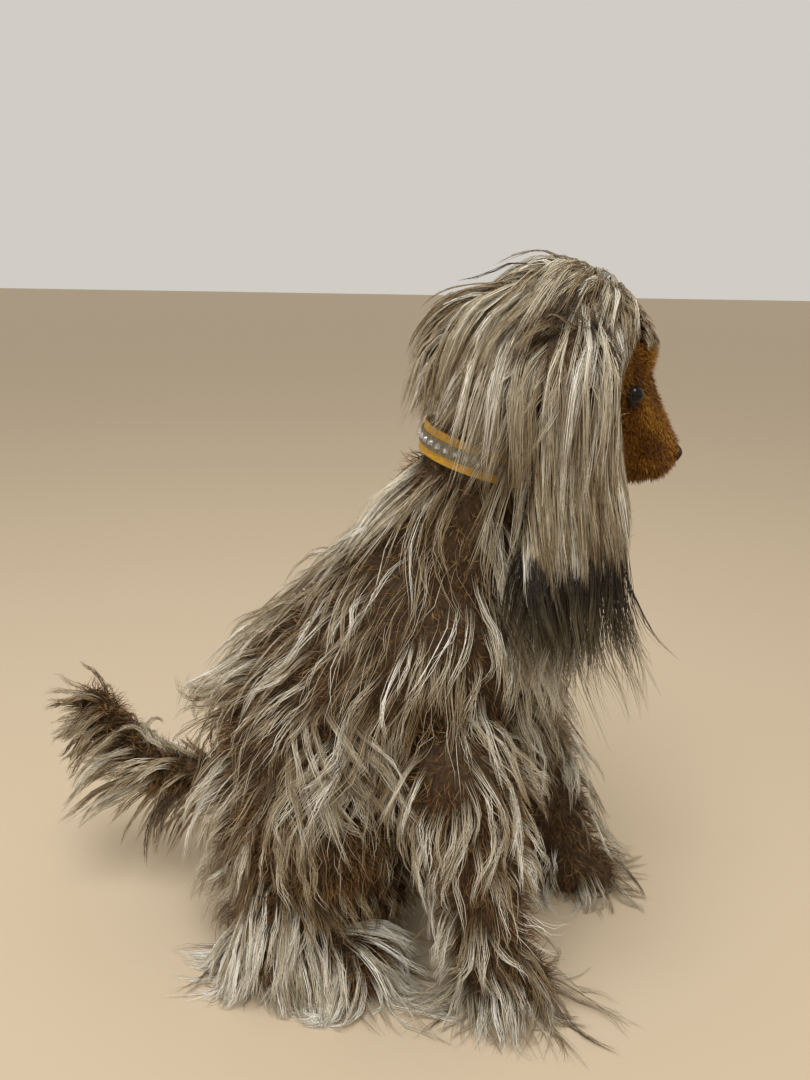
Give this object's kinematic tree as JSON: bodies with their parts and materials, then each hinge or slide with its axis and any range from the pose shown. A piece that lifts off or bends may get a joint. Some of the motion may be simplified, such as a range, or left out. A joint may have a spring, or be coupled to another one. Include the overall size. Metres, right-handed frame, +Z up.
{
  "type": "seated plush dog",
  "caption": "Seated long-haired plush dog with stuffed sewn skins, hanging ears that lift, a turning head, a wagging tail and a jewelled ribbon collar.",
  "frame": {"origin": "middle of the flat seat under the rump, on the floor", "axes": "+X the way the dog's body faces, +Y to its left, +Z up"},
  "size_m": [0.4359, 0.204, 0.4682],
  "materials": {
    "long_pile": "long silver-tipped plush pile over brown curly underpile",
    "face_pile": "short dense tan plush",
    "lining": "short brown plush lining",
    "sole_cloth": "short brown sole cloth",
    "fibre_fill": "loose polyester fibre filling",
    "bag_cloth": "woven cotton pellet bag",
    "eye_plastic": "glossy dark brown safety eye",
    "washer_plastic": "moulded locking washer",
    "nose_plush": "dark brown short pile",
    "ribbon": "golden-yellow woven ribbon",
    "strip": "grey woven centre strip",
    "stones": "clear round faceted stones with a foil back"
  },
  "bodies": {
    "trunk": {"torso_skin_right": "long_pile", "torso_skin_left": "long_pile", "torso_stuffing": "fibre_fill", "pellet_bag": "bag_cloth", "seat_panel": "sole_cloth", "neck_skin": "long_pile", "neck_stuffing": "fibre_fill", "front_leg_right_skin": "long_pile", "front_leg_right_stuffing": "fibre_fill", "front_sole_right": "sole_cloth", "front_leg_left_skin": "long_pile", "front_leg_left_stuffing": "fibre_fill", "front_sole_left": "sole_cloth", "thigh_right_skin": "long_pile", "thigh_right_stuffing": "fibre_fill", "thigh_left_skin": "long_pile", "thigh_left_stuffing": "fibre_fill", "hind_leg_right_skin": "long_pile", "hind_leg_right_stuffing": "fibre_fill", "hind_sole_right": "sole_cloth", "hind_leg_left_skin": "long_pile", "hind_leg_left_stuffing": "fibre_fill", "hind_sole_left": "sole_cloth"},
    "tail": {"tail_skin": "long_pile", "tail_stuffing": "fibre_fill"},
    "collar": {"collar_ribbon": "ribbon", "collar_strip": "strip", "collar_stones": "stones", "collar_overlap": "ribbon"},
    "head": {"head_skin_right": "long_pile", "head_skin_left": "long_pile", "head_stuffing": "fibre_fill", "face_skin": "face_pile", "nose": "nose_plush", "eye_right": "eye_plastic", "eye_left": "eye_plastic", "eye_washer_right": "washer_plastic", "eye_washer_left": "washer_plastic"},
    "ear_right": {"ear_right_pile": "long_pile", "ear_right_lining": "lining"},
    "ear_left": {"ear_left_pile": "long_pile", "ear_left_lining": "lining"}
  },
  "joints": [
    {"name": "head_turn", "type": "hinge", "parent": "trunk", "child": "head", "pos_m": [0.118, 0, 0.364], "axis": [0.2419, 0, 0.9703], "range_deg": [-45, 15], "stiffness_Nm_per_rad": 1.2},
    {"name": "ear_right_lift", "type": "hinge", "parent": "head", "child": "ear_right", "pos_m": [0.16629, -0.05076, 0.44519], "axis": [-0.9118, -0.4101, -0.022], "range_deg": [0, 95]},
    {"name": "ear_left_lift", "type": "hinge", "parent": "head", "child": "ear_left", "pos_m": [0.11913, 0.05347, 0.45695], "axis": [0.9118, 0.4101, 0.022], "range_deg": [0, 95]},
    {"name": "tail_wag", "type": "hinge", "parent": "trunk", "child": "tail", "pos_m": [-0.08007, 0, 0.1], "axis": [0, 0, 1], "range_deg": [-35, 35], "stiffness_Nm_per_rad": 0.1},
    {"name": "collar_turn", "type": "hinge", "parent": "trunk", "child": "collar", "pos_m": [0.118, 0, 0.364], "axis": [0.2419, 0, 0.9703], "continuous": true}
  ]
}
